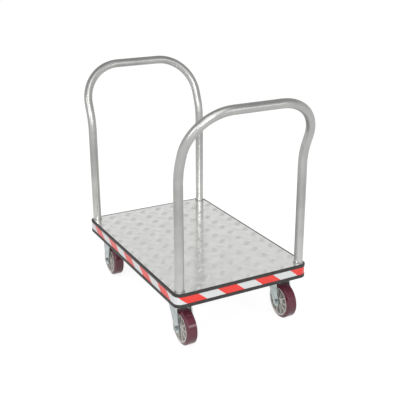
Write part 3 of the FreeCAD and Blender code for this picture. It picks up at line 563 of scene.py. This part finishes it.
def make_tape_band():
    """The tape in the bumper's recess: a thin band round the deck, with its own length as its UV map."""
    low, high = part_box("reflective_tape")
    reach_x, reach_y = DECK_LENGTH / 2 - DECK_CORNER, DECK_WIDTH / 2 - DECK_CORNER
    radius = high.x - reach_x
    bpy.ops.mesh.primitive_plane_add(size=1, location=(0, 0, low.z))
    band = open_piece("tape_band")
    bpy.ops.mesh.select_all(action="SELECT")
    bpy.ops.transform.resize(value=(high.x - low.x, high.y - low.y, 1))
    bpy.ops.mesh.bevel(offset=radius, offset_type="OFFSET", segments=TAPE_CORNER_STEPS, affect="VERTICES")
    bpy.ops.mesh.delete(type="ONLY_FACE")
    bpy.ops.mesh.select_all(action="SELECT")
    bpy.ops.mesh.extrude_region_move(TRANSFORM_OT_translate={"value": (0, 0, high.z - low.z)})
    bpy.ops.mesh.select_all(action="SELECT")
    bpy.ops.mesh.normals_make_consistent(inside=False)
    only(band)
    bpy.ops.object.transform_apply(location=True, rotation=True, scale=True)
    apply_modifier(band, "film", "SOLIDIFY", thickness=TAPE_THICKNESS, offset=-1.0)
    along = band.data.uv_layers.new(name="along_band")
    for face in band.data.polygons:
        for corner in face.loop_indices:
            point = band.data.vertices[band.data.loops[corner].vertex_index].co
            along.data[corner].uv = (band_length(point, face.center, reach_x, reach_y, radius), point.z)
    hand_over(band, finishes["reflective_tape"], "chassis", ["reflective_tape"])


# Welds at the feet of the uprights.
def make_upright_welds():
    """A fillet bead round each upright where it passes through the deck, laid in overlapping ripples."""
    steps = WELD_RIPPLES * RIPPLE_STEPS
    bpy.ops.mesh.primitive_torus_add(major_segments=steps, minor_segments=10,
                                     major_radius=TUBE_RADIUS + BEAD_OUTSIDE_TUBE, minor_radius=BEAD_RADIUS)
    weld = open_piece("upright_weld")

    def on_crest(point):
        """Whether a vertex lies on the raised half of a ripple."""
        step = round(math.atan2(point.co.y, point.co.x) / (2 * math.pi / steps))
        return step % RIPPLE_STEPS < RIPPLE_STEPS / 2

    select_points(on_crest)
    bpy.ops.transform.shrink_fatten(value=BEAD_CREST)
    only(weld)
    beads = []
    for side_x in (1, -1):
        for side_y in (1, -1):
            spot = Matrix.Translation((side_x * UPRIGHT_X, side_y * UPRIGHT_Y, DECK_TOP + BEAD_LIFT))
            beads.append(copy_piece(weld, "upright_weld", spot))
    remove(weld)
    beads = join_pieces(beads, "upright_welds")
    cut_at_plate_edge(beads, BEAD_MARGIN)
    hand_over(beads, weld_finish, "chassis", crease=BEAD_CREASE)


# Fasteners.
def make_hexagon(name, flats, height, both_ends, bore=None):
    """A hexagon that stands on the origin: a turned drum, with a bore in a nut, cut to six flats."""
    face = flats * HEX_FACE
    wide = flats / math.sqrt(3) * HEX_GIRTH
    slope = (wide - face) * math.tan(math.radians(HEX_SLOPE_DEGREES))
    foot = face if both_ends else wide
    bpy.ops.mesh.primitive_circle_add(vertices=DRUM_SIDES, radius=bore or foot,
                                      fill_type="NOTHING" if bore else "NGON")
    hexagon = open_piece(name)
    bpy.ops.mesh.select_all(action="SELECT")
    if bore:
        draw_out(0, foot / bore)
    if both_ends:
        draw_out(slope, wide / face)
        draw_out(height - 2 * slope)
    else:
        draw_out(height - slope)
    draw_out(slope, face / wide)
    if bore:
        draw_out(0, bore / face)
        draw_out(-height)
    close_up(hexagon)
    bpy.ops.object.mode_set(mode="EDIT")
    for flat in range(6):
        angle = math.radians(60 * flat)
        outwards = Vector((math.cos(angle), math.sin(angle), 0))
        bpy.ops.mesh.select_all(action="SELECT")
        bpy.ops.mesh.bisect(plane_co=outwards * flats / 2, plane_no=outwards, use_fill=True,
                            clear_outer=True, threshold=SAME_POINT)
    close_up(hexagon)
    return hexagon


def make_bolt(name, flats, head_height, radius, shank, thread, pitch):
    """A hex bolt along +Z, head on the origin: a plain shank, a thread of turned rings and a chamfer."""
    head = make_hexagon(name, flats, head_height, False)
    head.data.transform(Matrix.Scale(-1, 4, (0, 0, 1)))
    head.data.transform(Matrix.Translation((0, 0, head_height)))
    close_up(head)
    bpy.ops.mesh.primitive_circle_add(vertices=ROD_SIDES, radius=radius, fill_type="NGON",
                                      location=(0, 0, head_height / 2))
    rod = open_piece("bolt_rod")
    bpy.ops.mesh.select_all(action="SELECT")
    draw_out(head_height / 2 + shank - thread)
    root = 1 - THREAD_DEPTH * pitch / radius
    turns = int(thread / pitch) - 1
    for _ in range(turns):
        draw_out(pitch / 2, root)
        draw_out(pitch / 2, 1 / root)
    draw_out(thread - turns * pitch - TIP_LENGTH)
    draw_out(TIP_LENGTH, TIP_NARROWING)
    close_up(rod)
    bpy.ops.object.transform_apply(location=True, rotation=True, scale=True)
    return join_pieces([head, rod], name)


def hand_over_fastener(piece, body, stands_for):
    """Hand over a fastener in bright zinc, which stands for a plain one of the model."""
    hand_over(piece, finishes["zinc_steel"], body, [stands_for], FASTENER_CREASE)


def along_y(side):
    """The turn that lays a piece which stands along +Z along +Y or -Y."""
    return Matrix.Rotation(math.radians(-90 * side), 4, "X")


def make_axle_fasteners():
    """The axle bolts and their nuts: the front ones ride on their swivels, the rear ones on the chassis."""
    radius = 0.00635
    pitch = 0.00195
    flats = 0.019
    head_height = 0.008
    nut_height = 0.0105
    tail = 0.0035
    thread_inside = 0.004
    shank = FORK_WIDTH + nut_height + tail
    thread = nut_height + tail + thread_inside
    bolt = make_bolt("axle_bolt", flats, head_height, radius, shank, thread, pitch)
    nut = make_hexagon("axle_nut", flats, nut_height, True, radius)
    rear_bolts = []
    rear_nuts = []
    for side, hand in ((1, "left"), (-1, "right")):
        for end, wheel_x in (("front", FRONT_WHEEL_X), ("rear", -CASTER_X)):
            towards = side if end == "front" else -side
            head_end = side * CASTER_Y - towards * (FORK_WIDTH / 2 + head_height)
            nut_end = side * CASTER_Y + towards * FORK_WIDTH / 2
            to_bolt = Matrix.Translation((wheel_x, head_end, WHEEL_RADIUS)) @ along_y(towards)
            to_nut = Matrix.Translation((wheel_x, nut_end, WHEEL_RADIUS)) @ along_y(towards)
            name = f"{end}_{hand}"
            new_bolt = copy_piece(bolt, f"{name}_hex_bolt", to_bolt)
            new_nut = copy_piece(nut, f"{name}_hex_nut", to_nut)
            if end == "front":
                hand_over_fastener(new_bolt, f"{name}_swivel", f"{name}_axle_bolt")
                hand_over_fastener(new_nut, f"{name}_swivel", f"{name}_axle_nut")
            else:
                rear_bolts.append(new_bolt)
                rear_nuts.append(new_nut)
    hand_over_fastener(join_pieces(rear_bolts, "rear_hex_bolts"), "chassis", "rear_axle_bolts")
    hand_over_fastener(join_pieces(rear_nuts, "rear_hex_nuts"), "chassis", "rear_axle_nuts")
    remove(bolt)
    remove(nut)


def make_caster_fasteners():
    """The bolts that hold the casters' top plates to the frame, heads down, with their nuts on top."""
    radius = 0.00475
    pitch = 0.0016
    flats = 0.0143
    head_height = 0.0062
    nut_height = 0.0082
    tail = 0.003
    thread_inside = 0.003
    shank = FRAME_BOTTOM - TOP_PLATE_UNDERSIDE + nut_height + tail
    thread = nut_height + tail + thread_inside
    bolt = make_bolt("plate_bolt", flats, head_height, radius, shank, thread, pitch)
    nut = make_hexagon("plate_nut", flats, nut_height, True, radius)
    bolts = []
    nuts = []
    for end in (1, -1):
        for side in (1, -1):
            for step_x in (0.5, -0.5):
                for step_y in (0.5, -0.5):
                    x = end * CASTER_X + step_x * BOLT_SPACING_X
                    y = side * CASTER_Y + step_y * BOLT_SPACING_Y
                    head_at = Matrix.Translation((x, y, TOP_PLATE_UNDERSIDE - head_height))
                    bolts.append(copy_piece(bolt, "plate_bolt", head_at))
                    nuts.append(copy_piece(nut, "plate_nut", Matrix.Translation((x, y, FRAME_BOTTOM))))
    hand_over_fastener(join_pieces(bolts, "plate_hex_bolts"), "chassis", "caster_bolts")
    hand_over_fastener(join_pieces(nuts, "plate_hex_nuts"), "chassis", "caster_nuts")
    remove(bolt)
    remove(nut)


def make_kingpin_nuts():
    """The nuts on the two kingpins of the swivel casters."""
    flats = 0.022
    bore = 0.007
    low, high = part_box("kingpin_nuts")
    nut = make_hexagon("kingpin_nut", flats, high.z - low.z, True, bore)
    nuts = []
    for side in (1, -1):
        on_kingpin = Matrix.Translation((CASTER_X, side * CASTER_Y, low.z))
        nuts.append(copy_piece(nut, "kingpin_nut", on_kingpin))
    hand_over_fastener(join_pieces(nuts, "kingpin_hex_nuts"), "chassis", "kingpin_nuts")
    remove(nut)


bpy.ops.object.select_all(action="DESELECT")
make_deck_relief()
make_tape_band()
make_upright_welds()
make_axle_fasteners()
make_caster_fasteners()
make_kingpin_nuts()


# Studio.
def make_floor():
    """A pale floor that shows as white where nothing shades it, and fades into the room far away."""
    bpy.ops.mesh.primitive_plane_add(size=FLOOR_SIZE, location=(0, 0, 0))
    floor = bpy.context.object
    floor.name = "studio_floor"
    material = bpy.data.materials.new("white_studio_floor")
    material.use_nodes = True
    tree = material.node_tree
    tree.nodes.clear()
    path = add_node(tree, "ShaderNodeLightPath")
    seen = add_node(tree, "ShaderNodeMath", {"operation": "MAXIMUM"},
                    {0: path.outputs["Is Camera Ray"], 1: path.outputs["Is Glossy Ray"]})
    seen = add_node(tree, "ShaderNodeMath", {"operation": "MAXIMUM"},
                    {0: seen.outputs["Value"], 1: path.outputs["Is Transmission Ray"]})
    place = add_node(tree, "ShaderNodeTexCoord")
    reach = add_node(tree, "ShaderNodeVectorMath", {"operation": "LENGTH"}, {0: place.outputs["Object"]})
    white = add_node(tree, "ShaderNodeMapRange", {"interpolation_type": "SMOOTHSTEP"},
                     {"Value": reach.outputs["Value"], "From Min": FLOOR_FADE_START,
                      "From Max": FLOOR_FADE_END, "To Min": FLOOR_NEAR, "To Max": FLOOR_FAR})
    level = add_node(tree, "ShaderNodeMath", {"operation": "MULTIPLY"},
                     {0: seen.outputs["Value"], 1: white.outputs["Result"]})
    matt = add_node(tree, "ShaderNodeBsdfDiffuse", None, {"Color": FLOOR_GREY})
    glow = add_node(tree, "ShaderNodeEmission", None, {"Strength": level.outputs["Value"]})
    both = add_node(tree, "ShaderNodeAddShader", None, {0: matt.outputs["BSDF"], 1: glow.outputs["Emission"]})
    add_node(tree, "ShaderNodeOutputMaterial", None, {"Surface": both.outputs["Shader"]})
    floor.data.materials.append(material)


def make_world():
    """A room with white walls whose light falls off towards the ceiling."""
    world = bpy.data.worlds.new("white_studio")
    bpy.context.scene.world = world
    world.use_nodes = True
    tree = world.node_tree
    tree.nodes.clear()
    place = add_node(tree, "ShaderNodeTexCoord")
    split = add_node(tree, "ShaderNodeSeparateXYZ", None, {"Vector": place.outputs["Generated"]})
    level = add_node(tree, "ShaderNodeMapRange", {"interpolation_type": "SMOOTHSTEP"},
                     {"Value": split.outputs["Z"], "From Min": WALL_TOP, "From Max": CEILING_START,
                      "To Min": WALL_LIGHT, "To Max": CEILING_LIGHT})
    sky = add_node(tree, "ShaderNodeBackground", None,
                   {"Color": (1, 1, 1, 1), "Strength": level.outputs["Result"]})
    add_node(tree, "ShaderNodeOutputWorld", None, {"Surface": sky.outputs["Background"]})


def add_softbox(name, place, target, size, watts):
    """A flat rectangular lamp that faces its target."""
    lamp = bpy.data.lights.new(name, "AREA")
    lamp.shape = "RECTANGLE"
    lamp.size, lamp.size_y = size
    lamp.energy = watts
    holder = bpy.data.objects.new(name, lamp)
    holder.location = place
    holder.rotation_mode = "QUATERNION"
    holder.rotation_quaternion = (Vector(target) - Vector(place)).to_track_quat("-Z", "Y")
    bpy.context.scene.collection.objects.link(holder)


def make_camera():
    """The photograph's own view: its place, angle and lens, the frame moved a little off the lens axis."""
    azimuth = math.radians(CAMERA_AZIMUTH)
    elevation = math.radians(CAMERA_ELEVATION)
    back = Vector((math.sin(azimuth) * math.cos(elevation), -math.cos(azimuth) * math.cos(elevation),
                   math.sin(elevation)))
    lens = bpy.data.cameras.new("photo_lens")
    lens.sensor_width = CAMERA_SENSOR
    lens.lens = CAMERA_LENS
    lens.shift_x, lens.shift_y = CAMERA_SHIFT
    camera = bpy.data.objects.new("photo_camera", lens)
    camera.location = CAMERA_PLACE
    camera.rotation_mode = "QUATERNION"
    camera.rotation_quaternion = (-back).to_track_quat("-Z", "Y")
    bpy.context.scene.collection.objects.link(camera)
    bpy.context.scene.camera = camera


make_floor()
make_world()
# Narrow softboxes round the truck: degrees from its front, height of the middle, how tall, and watts.
for name, azimuth, rise, tall, watts in (
        ("side_softbox", -67.5, 2.75, 2.7, 78),
        ("front_softbox", -23.5, 2.75, 2.7, 140),
        ("right_softbox", 22.5, 2.08, 1.35, 26)):
    angle = math.radians(azimuth)
    place = (SOFTBOX_DISTANCE * math.cos(angle), SOFTBOX_DISTANCE * math.sin(angle), rise)
    add_softbox(name, place, SOFTBOX_TARGET, (SOFTBOX_WIDTH, tall), watts)
add_softbox("overhead_softbox", place=(1.72, -0.80, 3.1), target=(0, 0, 0.4), size=(2.4, 1.6), watts=25)
make_camera()
bpy.context.scene.view_settings.view_transform = "Standard"
